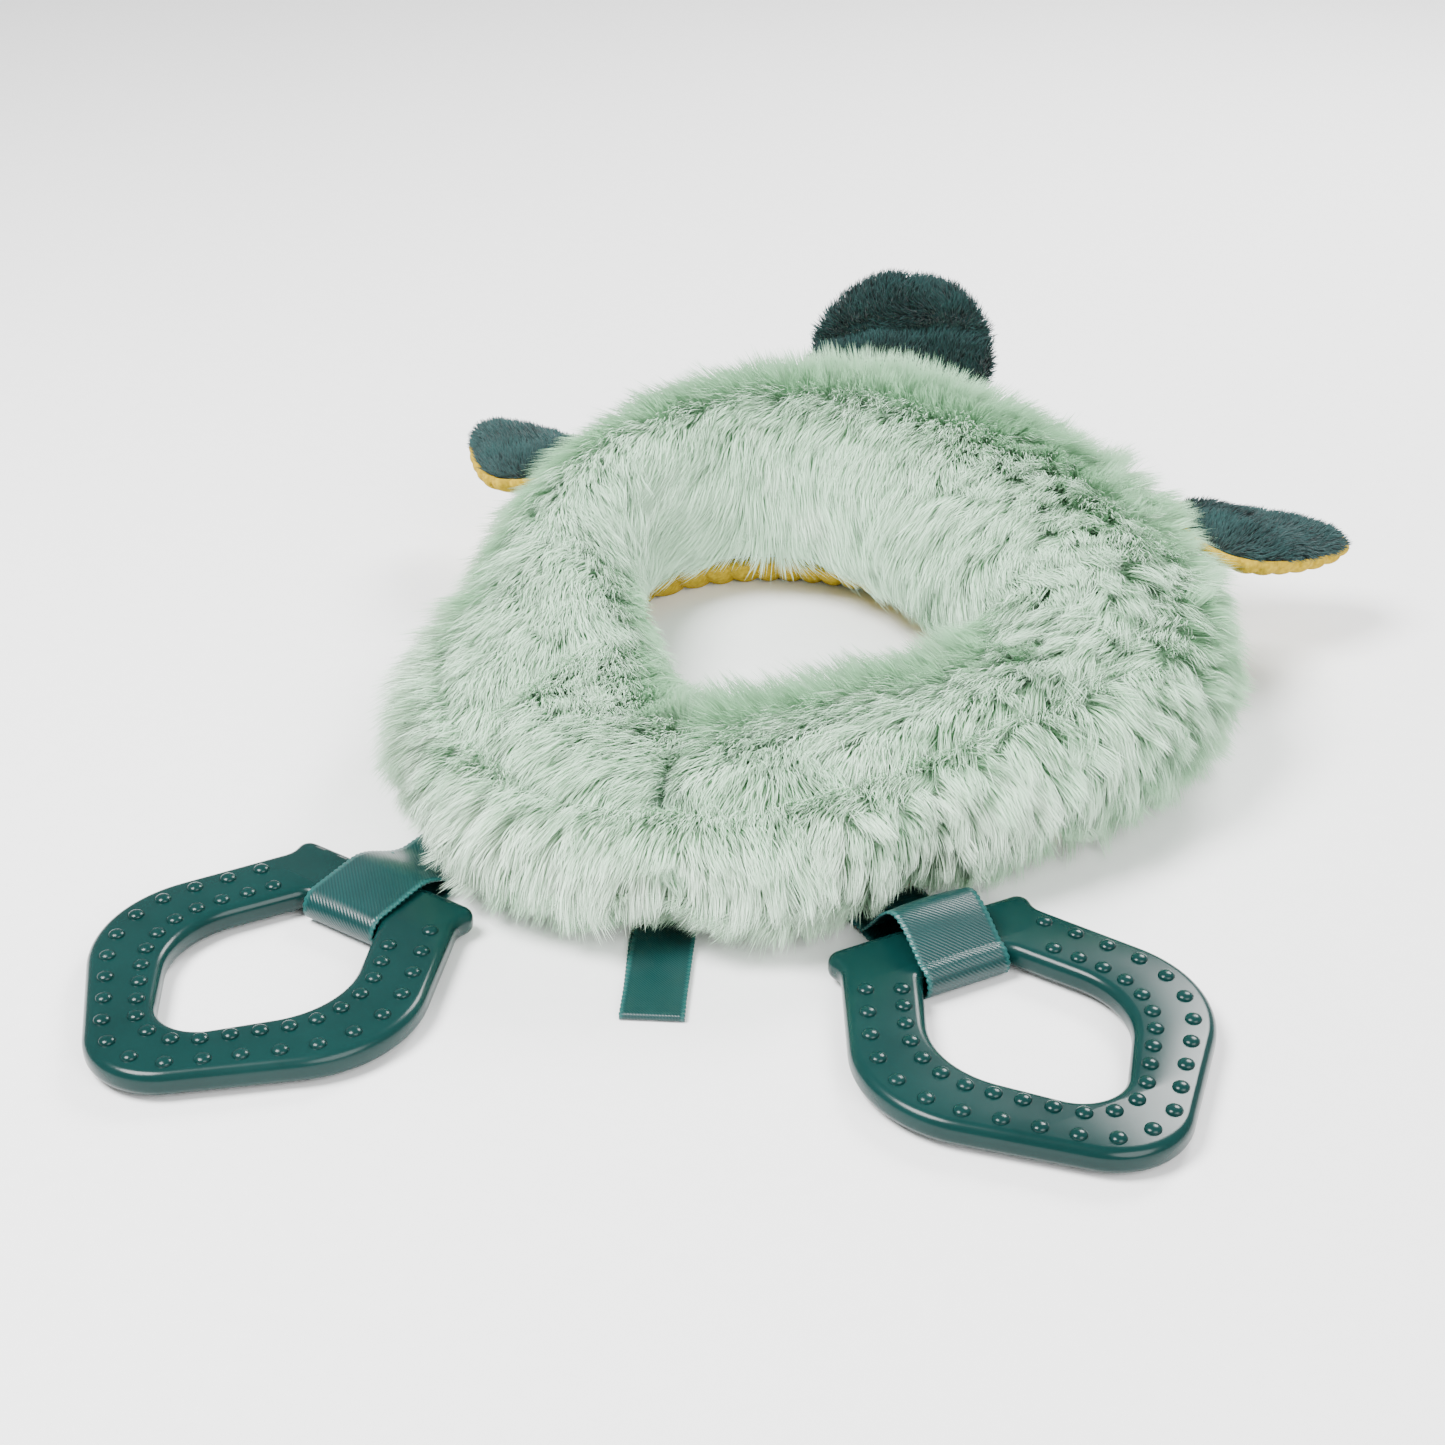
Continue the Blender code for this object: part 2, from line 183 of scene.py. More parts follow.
def ring_relief(degrees, section_degrees):
    """How far the plush is drawn in, in millimetres: its seams, its folds and its slack places."""
    degrees = np.mod(degrees, 360.0)
    band_line = BAND_SEAM + 30.0 + 14.0 * np.cos(np.radians(degrees + 40.0))
    deeper_near = 0.55 + 0.45 * np.cos(np.radians(degrees - 330.0))
    depth = 2.6 * groove(section_degrees, band_line, 9.0) * deeper_near
    over_top = smooth_step(section_degrees, 45.0, 75.0) * (1 - smooth_step(section_degrees, 150.0, 200.0))
    depth = depth + 3.6 * groove(degrees, BACK_SEAM, 3.4) * over_top
    fold = 236.0 + (section_degrees - 70.0) * -0.35
    depth = depth + 1.8 * groove(degrees, fold, 5.0) * smooth_step(section_degrees, 30.0, 60.0) * (
        1 - smooth_step(section_degrees, 110.0, 140.0))
    lumps = np.sin(np.radians(degrees * 5 + 40)) * np.sin(np.radians(section_degrees * 2.4 + degrees))
    full_rim = smooth_step(section_degrees, 118.0, 158.0) * (0.5 + 0.5 * np.cos(np.radians(degrees - 325.0)))
    full_back = groove(degrees, 116.0, 30.0) * groove(section_degrees, 70.0, 38.0)
    flare = groove(np.mod(degrees + 180.0, 360.0), 172.0, 34.0) * groove(section_degrees, 5.0, 34.0)
    return depth + 0.7 * lumps - 3.2 * full_rim - 2.8 * full_back - 2.6 * flare


def skin_point(degrees, section_degrees, lift=0.0):
    """The fur's backing: the CAD's surface, moved in by the pile's depth and by the relief."""
    inset = SKIN_INSET + ring_relief(degrees, section_degrees) - lift
    return ring_surface(degrees, section_degrees, inset, inset, FLOOR_GAP)


def surface_normals(surface, degrees, section_degrees):
    step = 0.4
    round_ring = surface(degrees + step, section_degrees) - surface(degrees - step, section_degrees)
    round_section = surface(degrees, section_degrees + step) - surface(degrees, section_degrees - step)
    return unit_rows(np.cross(round_ring, round_section))


# ---------------------------------------------------------------- mesh making
def mesh_object(name, points, faces, material, uv=None):
    """A mesh from millimetre points and faces that all have the same number of corners."""
    data = bpy.data.meshes.new(name)
    faces = np.asarray(faces, dtype=np.int32)
    data.vertices.add(len(points))
    data.vertices.foreach_set("co", (np.asarray(points) * MM).astype(np.float32).ravel())
    data.loops.add(faces.size)
    data.loops.foreach_set("vertex_index", faces.ravel())
    data.polygons.add(len(faces))
    data.polygons.foreach_set("loop_start", np.arange(0, faces.size, faces.shape[1], dtype=np.int32))
    if uv is not None:
        layer = data.uv_layers.new(name="OFBake")
        layer.data.foreach_set("uv", np.asarray(uv)[faces.ravel()].astype(np.float32).ravel())
    data.update(calc_edges=True)
    data.validate()
    data.shade_smooth()
    data.materials.append(material)
    made = bpy.data.objects.new(name, data)
    bpy.context.scene.collection.objects.link(made)
    return made


def grid_faces(rows, columns, wrap_rows=False, wrap_columns=False, flip=False):
    """Quads over a grid of points numbered row by row."""
    row = np.arange(rows if wrap_rows else rows - 1)
    column = np.arange(columns if wrap_columns else columns - 1)
    row, column = [part.ravel() for part in np.meshgrid(row, column, indexing="ij")]
    next_row, next_column = (row + 1) % rows, (column + 1) % columns
    corners = [row * columns + column, next_row * columns + column,
               next_row * columns + next_column, row * columns + next_column]
    return np.stack(corners[::-1] if flip else corners, axis=-1)


def blade_object(name, paths, sides, widths, tints, material):
    """Strands as flat tapering blades. paths is (strand, point, xyz) from root to tip."""
    strands, rings = paths.shape[:2]
    taper = (1.0 - np.arange(rings - 1) / (rings - 1)) ** 0.6
    half = sides[:, None, :] * widths[:, None, None] * taper[None, :, None] / 2
    pairs = np.stack([paths[:, :-1] - half, paths[:, :-1] + half], axis=2).reshape(strands, -1, 3)
    points = np.concatenate([pairs, paths[:, -1:]], axis=1)
    per_strand = points.shape[1]
    triangles = []
    for ring in range(rings - 2):
        first = 2 * ring
        triangles += [(first, first + 1, first + 3), (first, first + 3, first + 2)]
    triangles.append((2 * rings - 4, 2 * rings - 3, 2 * rings - 2))
    starts = np.arange(strands)[:, None, None] * per_strand
    faces = (starts + np.array(triangles)[None]).reshape(-1, 3)
    heights = np.append(np.repeat(np.arange(rings - 1) / (rings - 1), 2), 1.0)
    across = np.append(np.tile([-0.01, 0.01], rings - 1), 0.0)
    u = np.clip(tints[:, None], 0.02, 0.98) + across[None]
    v = np.broadcast_to(0.02 + 0.96 * heights[None], u.shape)
    uv = np.stack([u, v], axis=-1).reshape(-1, 2)
    return mesh_object(name, points.reshape(-1, 3), faces, material, uv)


def blades_in_pieces(name, paths, sides, widths, tints, material, order):
    """The strands as several pieces, none too large, each a neighbourhood in the given order."""
    ranked = np.argsort(order, kind="stable")
    count = math.ceil(len(ranked) / MOST_STRANDS_A_PIECE)
    made = []
    for number, part in enumerate(np.array_split(ranked, count), start=1):
        label = f"{name}_{number}" if count > 1 else name
        made.append(blade_object(label, paths[part], sides[part], widths[part], tints[part], material))
    return made


# ---------------------------------------------------------------- strands
def scatter(surface, first, last, density):
    """Even random places on a surface given by two numbers, each between first's and last's."""
    steps = 120
    a = np.linspace(first[0], last[0], steps + 1)
    b = np.linspace(first[1], last[1], steps + 1)
    grid_a, grid_b = np.meshgrid(a, b, indexing="ij")
    points = surface(grid_a.ravel(), grid_b.ravel()).reshape(steps + 1, steps + 1, 3)
    one = points[1:, :-1] - points[:-1, :-1]
    other = points[:-1, 1:] - points[:-1, :-1]
    areas = np.linalg.norm(np.cross(one, other), axis=-1).ravel()
    count = int(areas.sum() * density)
    cells = RANDOM.choice(len(areas), size=count, p=areas / areas.sum())
    row, column = np.divmod(cells, steps)
    share = RANDOM.random((2, count))
    return (a[row] + share[0] * (a[1] - a[0]), b[column] + share[1] * (b[1] - b[0]))


def clump_leaders(points, spacing):
    """For each strand, the index of the strand that leads its clump."""
    count = max(1, int(len(points) / (spacing * spacing * FUR_DENSITY)))
    kept = RANDOM.choice(len(points), size=count, replace=False)
    tree = kdtree.KDTree(len(kept))
    for place, index in enumerate(kept):
        tree.insert(points[index], place)
    tree.balance()
    return kept[np.array([tree.find(point)[1] for point in points])]


def grow(roots, normals, nap, lengths, lift_root, lift_tip, rings):
    """Strands that leave at lift_root degrees above the surface and bend over to lift_tip."""
    paths = [roots]
    for ring in range(rings - 1):
        share = (ring + 0.5) / (rings - 1)
        lift = np.radians(lift_root + (lift_tip - lift_root) * share)[:, None]
        step = (nap * np.cos(lift) + normals * np.sin(lift)) * (lengths / (rings - 1))[:, None]
        paths.append(paths[-1] + step)
    return np.stack(paths, axis=1)


def gather(paths, leaders, strength):
    """Draw each strand's outer part towards its clump's leader."""
    share = (np.arange(paths.shape[1]) / (paths.shape[1] - 1)) ** 1.3
    return paths + (paths[leaders] - paths) * share[None, :, None] * strength[:, None, None]


def turned_sides(paths, normals, most_roll):
    """Each blade's sideways direction: flat to the surface, rolled a little at random."""
    along = unit_rows(paths[:, -1] - paths[:, 0])
    flat = unit_rows(np.cross(along, normals))
    roll = np.radians(RANDOM.normal(0.0, most_roll, len(paths)))[:, None]
    return unit_rows(flat * np.cos(roll) + np.cross(along, flat) * np.sin(roll))


def turn_about(vectors, axes, angle):
    angle = angle[:, None]
    return vectors * np.cos(angle) + np.cross(axes, vectors) * np.sin(angle)


def fur_paths(degrees, section):
    roots = skin_point(degrees, section)
    normals = surface_normals(skin_point, degrees, section)
    count = len(roots)
    swirl = 0.24 * soft_noise(roots, 34.0, 3) + 0.12 * soft_noise(roots, 11.0, 4)
    combed = np.broadcast_to(np.array(NAP), (count, 3))
    nap = combed - normals * dot(combed, normals)
    outer = smooth_step(-section, -62.0, -20.0)
    outward = ring_surface(degrees, np.zeros(count)) - ring_surface(degrees, np.full(count, 180.0))
    nap = unit_rows(nap + 0.45 * outer[:, None] * unit_rows(outward))
    nap = unit_rows(nap - normals * dot(nap, normals))
    nap = turn_about(nap, normals, swirl)
    seam_side = np.radians(degrees - BACK_SEAM)
    away = 0.5 * np.sign(seam_side) * groove(degrees, BACK_SEAM, 5.0) * smooth_step(section, 50.0, 70.0)
    nap = turn_about(nap, normals, away)
    leaders = clump_leaders(roots, CLUMP_SPACING)
    tufted = 0.35 + 0.65 * smooth_step(roots[:, 0], 5.0, 60.0) + 0.25 * outer
    clump_length = RANDOM.uniform(0.84, 1.10, count)[leaders]
    clump_turn = RANDOM.normal(0.0, 0.26, count)[leaders] * tufted
    clump_lift = RANDOM.normal(0.0, 6.0, count)[leaders] * tufted
    nap = turn_about(nap, normals, clump_turn + RANDOM.normal(0.0, 0.13, count))
    lengths = FUR_LENGTH * clump_length * RANDOM.uniform(0.75, 1.1, count)
    parted = np.ones(count)
    for place, width, shortening in PARTINGS:
        low = 1 - smooth_step(section, 20.0, 50.0)
        parted = parted - shortening * groove(degrees, place, width) * low
    in_seam = groove(degrees, BACK_SEAM, 2.8) * smooth_step(section, 50.0, 70.0)
    lengths = lengths * parted * (1.0 - 0.35 * in_seam)
    far_side = smooth_step(roots[:, 1], 40.0, 95.0)
    facing = normals[:, 1] - 0.5 * normals[:, 0]
    in_hole = smooth_step(section, 112.0, 160.0) * smooth_step(facing, -0.35, 0.5)
    raised = 22.0 * outer + 18.0 * far_side * (1 - smooth_step(section, 100.0, 140.0)) + 30.0 * in_hole
    base_lift = 36.0 + raised + clump_lift + RANDOM.normal(0.0, 6.0, count)
    tip_lift = 8.0 + raised + clump_lift + RANDOM.normal(0.0, 7.0, count)
    paths = grow(roots, normals, nap, lengths, base_lift, tip_lift, FUR_RINGS)
    paths = gather(paths, leaders, RANDOM.uniform(0.1, 0.6, count) * np.clip(tufted + 0.2, 0.0, 1.0))
    paths[..., 2] = np.maximum(paths[..., 2], FLOOR_GAP)
    return paths, normals, leaders, outer


def fur_tints(paths, leaders, outer, degrees, section):
    """0 is a dark tuft, 0.5 the usual mint and 1 a pale outer strand."""
    roots = paths[:, 0]
    count = len(roots)
    mottled = 0.09 * soft_noise(roots, 16.0, 8) + 0.07 * RANDOM.normal(0.0, 1.0, count)[leaders]
    right_side = smooth_step(roots[:, 0], 20.0, 75.0)
    tints = 0.52 + mottled + 0.07 * RANDOM.normal(0.0, 1.0, count) + 0.32 * outer - 0.24 * right_side
    # painted shade: the strands in the back seam's valley are darkened
    tints = tints - 0.42 * groove(degrees, BACK_SEAM, 2.4) * smooth_step(section, 50.0, 70.0)
    flecks = RANDOM.random(count) < 0.004
    return np.clip(np.where(flecks, 0.03, tints), 0.05, 0.97)


# ---------------------------------------------------------------- materials
def new_material(name, roughness, sheen=0.0):
    made = bpy.data.materials.new(name)
    made.use_nodes = True
    shader = made.node_tree.nodes["Principled BSDF"]
    shader.inputs["Roughness"].default_value = roughness
    shader.inputs["Sheen Weight"].default_value = sheen
    shader.inputs["Sheen Roughness"].default_value = 0.4
    return made, made.node_tree, shader


def add_node(tree, kind, **settings):
    node = tree.nodes.new(kind)
    for key, value in settings.items():
        setattr(node, key, value)
    return node


def colour_ramp(tree, source, stops):
    ramp = add_node(tree, "ShaderNodeValToRGB")
    while len(ramp.color_ramp.elements) < len(stops):
        ramp.color_ramp.elements.new(0.5)
    for element, (position, colour) in zip(ramp.color_ramp.elements, stops):
        element.position = position
        element.color = (*colour, 1.0)
    tree.links.new(source, ramp.inputs["Fac"])
    return ramp.outputs["Color"]


def mix_colours(tree, share, first, second, blend="MIX"):
    node = add_node(tree, "ShaderNodeMix", data_type="RGBA", blend_type=blend)
    for socket, value in ((node.inputs[0], share), (node.inputs[6], first), (node.inputs[7], second)):
        if isinstance(value, bpy.types.NodeSocket):
            tree.links.new(value, socket)
        else:
            socket.default_value = value
    return node.outputs[2]


def noise_value(tree, scale, detail=4.0):
    where = add_node(tree, "ShaderNodeTexCoord")
    noise = add_node(tree, "ShaderNodeTexNoise")
    noise.inputs["Scale"].default_value = scale
    noise.inputs["Detail"].default_value = detail
    tree.links.new(where.outputs["Object"], noise.inputs["Vector"])
    return noise.outputs["Fac"]


def add_bump(tree, shader, height, strength, distance):
    bump = add_node(tree, "ShaderNodeBump")
    bump.inputs["Strength"].default_value = strength
    bump.inputs["Distance"].default_value = distance * MM
    tree.links.new(height, bump.inputs["Height"])
    tree.links.new(bump.outputs["Normal"], shader.inputs["Normal"])


def strand_material(name, body, root_painted_shade, tip, roughness, sheen):
    """Pile coloured by each strand's own tint and by the way from its root to its tip, with painted shade
    darkening it towards the root.
    """
    made, tree, shader = new_material(name, roughness, sheen)
    where = add_node(tree, "ShaderNodeUVMap", uv_map="OFBake")
    split = add_node(tree, "ShaderNodeSeparateXYZ")
    tree.links.new(where.outputs["UV"], split.inputs[0])
    tint = colour_ramp(tree, split.outputs["X"], body)
    # painted shade: each strand is darkened towards its root, where the pile shades itself
    shade = colour_ramp(tree, split.outputs["Y"], root_painted_shade)
    shaded = mix_colours(tree, 1.0, tint, shade, "MULTIPLY")
    tipped = colour_ramp(tree, split.outputs["Y"], ((0.45, (0, 0, 0)), (1.0, (0.55, 0.55, 0.55))))
    colour = mix_colours(tree, tipped, shaded, (*tip, 1.0))
    tree.links.new(colour, shader.inputs["Base Color"])
    return made


def backing_material(name, colour, darker):
    made, tree, shader = new_material(name, 0.95)
    fibres = noise_value(tree, 900.0)
    tree.links.new(colour_ramp(tree, fibres, ((0.3, darker), (0.7, colour))), shader.inputs["Base Color"])
    add_bump(tree, shader, fibres, 0.6, 0.3)
    return made


def corduroy_material():
    made, tree, shader = new_material("mustard_corduroy", 0.95)
    shader.inputs["Specular IOR Level"].default_value = 0.2
    tufts = noise_value(tree, 1100.0, 6.0)
    wear = noise_value(tree, 55.0, 3.0)
    fine = colour_ramp(tree, tufts, ((0.3, (0.33, 0.215, 0.010)), (0.72, (0.56, 0.385, 0.028))))
    broad = colour_ramp(tree, wear, ((0.3, (0.86, 0.84, 0.80)), (0.7, (1.0, 1.0, 1.0))))
    tree.links.new(mix_colours(tree, 1.0, fine, broad, "MULTIPLY"), shader.inputs["Base Color"])
    add_bump(tree, shader, tufts, 0.7, 0.35)
    return made


def satin_material():
    made, tree, shader = new_material("teal_satin", 0.34)
    shader.inputs["Specular IOR Level"].default_value = 0.42
    where = add_node(tree, "ShaderNodeUVMap", uv_map="OFBake")
    twill = add_node(tree, "ShaderNodeTexWave", bands_direction="DIAGONAL")
    twill.inputs["Scale"].default_value = 62.0
    twill.inputs["Distortion"].default_value = 0.6
    tree.links.new(where.outputs["UV"], twill.inputs["Vector"])
    slubs = noise_value(tree, 240.0)
    woven_colours = ((0.0, (0.001, 0.025, 0.025)), (1.0, (0.003, 0.041, 0.040)))
    woven = colour_ramp(tree, twill.outputs["Fac"], woven_colours)
    uneven = colour_ramp(tree, slubs, ((0.3, (0.85, 0.85, 0.85)), (0.7, (1.0, 1.0, 1.0))))
    cloth = mix_colours(tree, 1.0, woven, uneven, "MULTIPLY")
    split = add_node(tree, "ShaderNodeSeparateXYZ")
    tree.links.new(where.outputs["UV"], split.inputs[0])
    pale, plain = (1, 1, 1), (0, 0, 0)
    edges = ((0.0, pale), (0.004, pale), (0.010, plain), (0.190, plain), (0.196, pale))
    selvedge = colour_ramp(tree, split.outputs["X"], edges)
    edged = mix_colours(tree, selvedge, cloth, (0.014, 0.090, 0.085, 1.0))
    tree.links.new(edged, shader.inputs["Base Color"])
    shader.inputs["Anisotropic"].default_value = 0.5
    add_bump(tree, shader, twill.outputs["Fac"], 0.35, 0.1)
    return made


def plastic_material():
    made, tree, shader = new_material("teal_plastic", 0.2)
    shader.inputs["Specular IOR Level"].default_value = 0.23
    shader.inputs["Subsurface Weight"].default_value = 0.12
    shader.inputs["Subsurface Radius"].default_value = (0.3, 1.0, 0.9)
    shader.inputs["Subsurface Scale"].default_value = 1.2 * MM
    cloud = noise_value(tree, 70.0, 3.0)
    speck = noise_value(tree, 1600.0, 2.0)
    tree.links.new(colour_ramp(tree, cloud, ((0.3, (0.0015, 0.020, 0.0185)), (0.7, (0.002, 0.026, 0.024)))),
                   shader.inputs["Base Color"])
    tree.links.new(colour_ramp(tree, cloud, ((0.3, (0.17, 0.17, 0.17)), (0.7, (0.26, 0.26, 0.26)))),
                   shader.inputs["Roughness"])
    add_bump(tree, shader, speck, 0.08, 0.05)
    return made


def thread_material(name, colour, darker):
    made, tree, shader = new_material(name, 0.6, sheen=0.2)
    twist = noise_value(tree, 2200.0)
    tree.links.new(colour_ramp(tree, twist, ((0.3, darker), (0.7, colour))), shader.inputs["Base Color"])
    add_bump(tree, shader, twist, 0.5, 0.1)
    return made


FUR = strand_material(
    "mint_fur",
    ((0.0, (0.08, 0.22, 0.12)), (0.25, (0.42, 0.65, 0.45)),
     (0.55, (0.56, 0.82, 0.60)), (1.0, (0.77, 0.88, 0.76))),
    # painted shade towards the roots, then the tip colour, roughness and sheen
    ((0.0, (0.90, 0.95, 0.91)), (0.6, (1.0, 1.0, 1.0))), (0.70, 0.90, 0.73), 0.9, 0.1)
DARK_PILE = strand_material(
    "teal_plush",
    ((0.0, (0.001, 0.014, 0.014)), (0.5, (0.002, 0.026, 0.026)), (1.0, (0.009, 0.062, 0.060))),
    # painted shade towards the roots, then the tip colour, roughness and sheen
    ((0.0, (0.5, 0.5, 0.5)), (0.7, (1.0, 1.0, 1.0))), (0.020, 0.085, 0.083), 0.8, 0.22)
FUR_BACKING = backing_material("mint_backing", (0.56, 0.78, 0.60), (0.46, 0.66, 0.50))
DARK_BACKING = backing_material("teal_backing", (0.012, 0.045, 0.045), (0.006, 0.026, 0.026))
CORDUROY = corduroy_material()
SATIN = satin_material()
PLASTIC = plastic_material()
THREAD = thread_material("teal_thread", (0.03, 0.15, 0.14), (0.012, 0.08, 0.075))
PALE_THREAD = thread_material("mint_thread", (0.50, 0.64, 0.52), (0.38, 0.50, 0.40))
FIBRE = backing_material("white_fibre", (0.85, 0.85, 0.82), (0.70, 0.70, 0.68))


# ---------------------------------------------------------------- the ring
def closed_band(outer_points, inner_points, rows, columns, name, material):
    """A lofted wall round the ring: its outer face, its lining and the two hems that join them."""
    points = np.concatenate([outer_points.reshape(rows, columns, 3),
                             inner_points.reshape(rows, columns, 3)[:, ::-1]], axis=1)
    faces = grid_faces(rows, 2 * columns, wrap_rows=True, wrap_columns=True, flip=True)
    return mesh_object(name, points.reshape(-1, 3), faces, material)


def build_skin():
    """The fur's backing, one skin over the outer band and the back cover."""
    rows, columns = 240, 80
    degrees = np.linspace(0.0, 360.0, rows, endpoint=False)
    section = np.linspace(OUTER_SEAM + 2, INNER_SEAM - 2, columns)
    a, b = [part.ravel() for part in np.meshgrid(degrees, section, indexing="ij")]
    lining = skin_point(a, b, -BACKING_THICKNESS)
    skin = closed_band(skin_point(a, b), lining, rows, columns, "plush_backing", FUR_BACKING)
    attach(skin, "ring")
    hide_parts("outer_band", "back_cover")


def build_ring_stuffing():
    """The filling, a little inside the backing and the corduroy all the way round."""
    rows, columns = 180, 60
    degrees = np.linspace(0.0, 360.0, rows, endpoint=False)
    section = np.linspace(OUTER_SEAM - 20, OUTER_SEAM + 340, columns, endpoint=False)
    a, b = [part.ravel() for part in np.meshgrid(degrees, section, indexing="ij")]
    past_outer = smooth_step(b, OUTER_SEAM - 10, OUTER_SEAM + 10)
    past_inner = smooth_step(b, INNER_SEAM - 10, INNER_SEAM + 10)
    under_fur = past_outer * (1 - past_inner)
    inset = STUFFING_INSET + np.maximum(ring_relief(a, b), 0.0) * under_fur
    points = ring_surface(a, b, inset, inset, STUFFING_FLOOR)
    faces = grid_faces(rows, columns, wrap_rows=True, wrap_columns=True, flip=True)
    stuffing = mesh_object("ring_stuffing", points, faces, FIBRE)
    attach(stuffing, "ring")
    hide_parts("fibre_filling")


def build_fur():
    degrees, section = scatter(skin_point, (0.0, OUTER_SEAM + 4), (360.0, INNER_SEAM - 3), FUR_DENSITY)
    paths, normals, leaders, outer = fur_paths(degrees, section)
    sides = turned_sides(paths, normals, FUR_ROLL)
    widths = STRAND_WIDTH * RANDOM.uniform(0.6, 1.15, len(paths))
    tints = fur_tints(paths, leaders, outer, degrees, section)
    for piece in blades_in_pieces("ring_fur", paths, sides, widths, tints, FUR, degrees):
        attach(piece, "ring")


def build_band_seam():
    """The sewing between the outer band and the back cover, lying on the backing beneath the pile."""
    rows, corners, radius = 720, 8, 0.25
    degrees = np.linspace(0.0, 360.0, rows, endpoint=False)
    middle = skin_point(degrees, np.full(rows, BAND_SEAM), 0.15)
    normals = surface_normals(skin_point, degrees, np.full(rows, BAND_SEAM))
    upward = unit_rows(np.cross(np.roll(middle, -1, axis=0) - middle, normals))
    turn = np.radians(np.arange(corners) * 360.0 / corners)[None, :, None]
    ring = normals[:, None] * np.cos(turn) + upward[:, None] * np.sin(turn)
    swell = 1.0 + 0.25 * np.sin(np.arange(rows) * 2 * math.pi / 8)[:, None, None]
    points = middle[:, None] + ring * radius * swell
    faces = grid_faces(rows, corners, wrap_rows=True, wrap_columns=True)
    seam = mesh_object("band_seam_sewing", points.reshape(-1, 3), faces, PALE_THREAD)
    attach(seam, "ring")
    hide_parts("band_seam_thread")


def wale_depth(across):
    """How far corduroy is drawn in between its rounded wales."""
    return WALE_DEPTH * (1.0 - np.sqrt(np.abs(np.sin(math.pi * across / WALE_PITCH)) + 1e-6))


def build_front_cover():
    """The corduroy underside, with straight wales cut across the whole ring."""
    rows, columns = 640, 70
    degrees = np.linspace(0.0, 360.0, rows, endpoint=False)
    section = np.linspace(INNER_SEAM - 360.0 + 1, OUTER_SEAM - 1, columns)
    a, b = [part.ravel() for part in np.meshgrid(degrees, section, indexing="ij")]
    plain = ring_surface(a, b, PILE_OVERHANG, 0.0)
    depth = wale_depth(plain[:, 0])
    outer = ring_surface(a, b, PILE_OVERHANG + depth, depth)
    lying = plain[:, 2] <= 0.0
    outer[:, 2] = np.where(lying, np.maximum(outer[:, 2], depth), outer[:, 2])
    inner = ring_surface(a, b, PILE_OVERHANG + COVER_THICKNESS, COVER_THICKNESS, COVER_THICKNESS)
    cover = closed_band(outer, inner, rows, columns, "corduroy_front", CORDUROY)
    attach(cover, "ring")
    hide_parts("front_cover")


# ---------------------------------------------------------------- padded flaps
def flap_matrix(flap):
    """A flap's own frame in millimetres: x along its hinge, y along its length, z out of its back."""
    section = math.radians(BAND_SEAM)
    surface = Vector(ring_surface(flap["at"], BAND_SEAM))
    step = loop_point(math.radians(flap["at"]) + 1e-4) - loop_point(math.radians(flap["at"]) - 1e-4)
    along_loop = unit_rows(step)
    outward = Vector((along_loop[1], -along_loop[0], 0))
    root = surface + (outward * math.cos(section) + Vector((0, 0, math.sin(section)))) * ROOT_CLEARANCE
    heading, lean = math.radians(flap["heading"]), math.radians(flap["lean"])
    level = Vector((math.cos(heading), math.sin(heading), 0))
    along = level * math.cos(lean) + Vector((0, 0, math.sin(lean)))
    across = Vector((0, 0, 1)).cross(level) * -1
    rolled = Matrix.Rotation(math.radians(flap["roll"]), 3, along) @ across
    turned = Matrix((rolled, along, rolled.cross(along))).transposed()
    return np.array(turned), np.array(root)


def pad_point(u, v, size, taper, inset=0.0):
    """A pad as a squared-off ball: u goes round its outline, v from its front, -90, to its back, 90."""
    half_width, length, half_thickness = size
    around, up = np.radians(u), np.radians(v)
    power = 2.0 / PAD_SQUARENESS
    x = np.sign(np.cos(around)) * np.abs(np.cos(around)) ** power
    y = np.sign(np.sin(around)) * np.abs(np.sin(around)) ** power
    share = np.cos(up)
    flat_x = (half_width - inset) * x * (1 - taper * y) * share
    flat_y = (length / 2 - inset) * y * share + length / 2
    return np.stack([flat_x, flat_y, (half_thickness - inset) * np.sin(up)], axis=-1)


def crest_shape(points, length):
    """The crest's crease, lower shoulder and curled end."""
    x, y, z = points[..., 0], points[..., 1], points[..., 2]
    reach = y / length
    crease = groove(y, length * 0.60 + 0.10 * x, 2.4)
    z = z - 1.7 * crease * np.sign(z) * smooth_step(np.abs(z), 0.0, 1.5) + 2.4 * smooth_step(reach, 0.5, 1.0)
    y = y * (1.0 - 0.13 * smooth_step(-x, 4.0, 19.0) - 0.05 * smooth_step(x, 9.0, 19.0))
    return np.stack([x, y, z], axis=-1)


def ear_shape(points, length):
    """The ears are slack: they dip a little along their middle."""
    x, y, z = points[..., 0], points[..., 1], points[..., 2]
    return np.stack([x, y, z - 0.8 * np.sin(math.pi * y / length)], axis=-1)


def flap_surface(name, u, v, inset=0.0, ribbed=False):
    """World points on a flap. A ribbed one has wales across its front."""
    flap = FLAPS[name]
    drawn_in = inset
    if ribbed:
        plain = pad_point(u, v, flap["size"], flap["taper"])
        drawn_in = inset + 1.1 * wale_depth(plain[..., 1] + 1.0)
    points = pad_point(u, v, flap["size"], flap["taper"], drawn_in)
    shape = crest_shape if name == "crest" else ear_shape
    turned, root = flap_matrix(flap)
    return shape(points, flap["size"][1]) @ turned.T + root


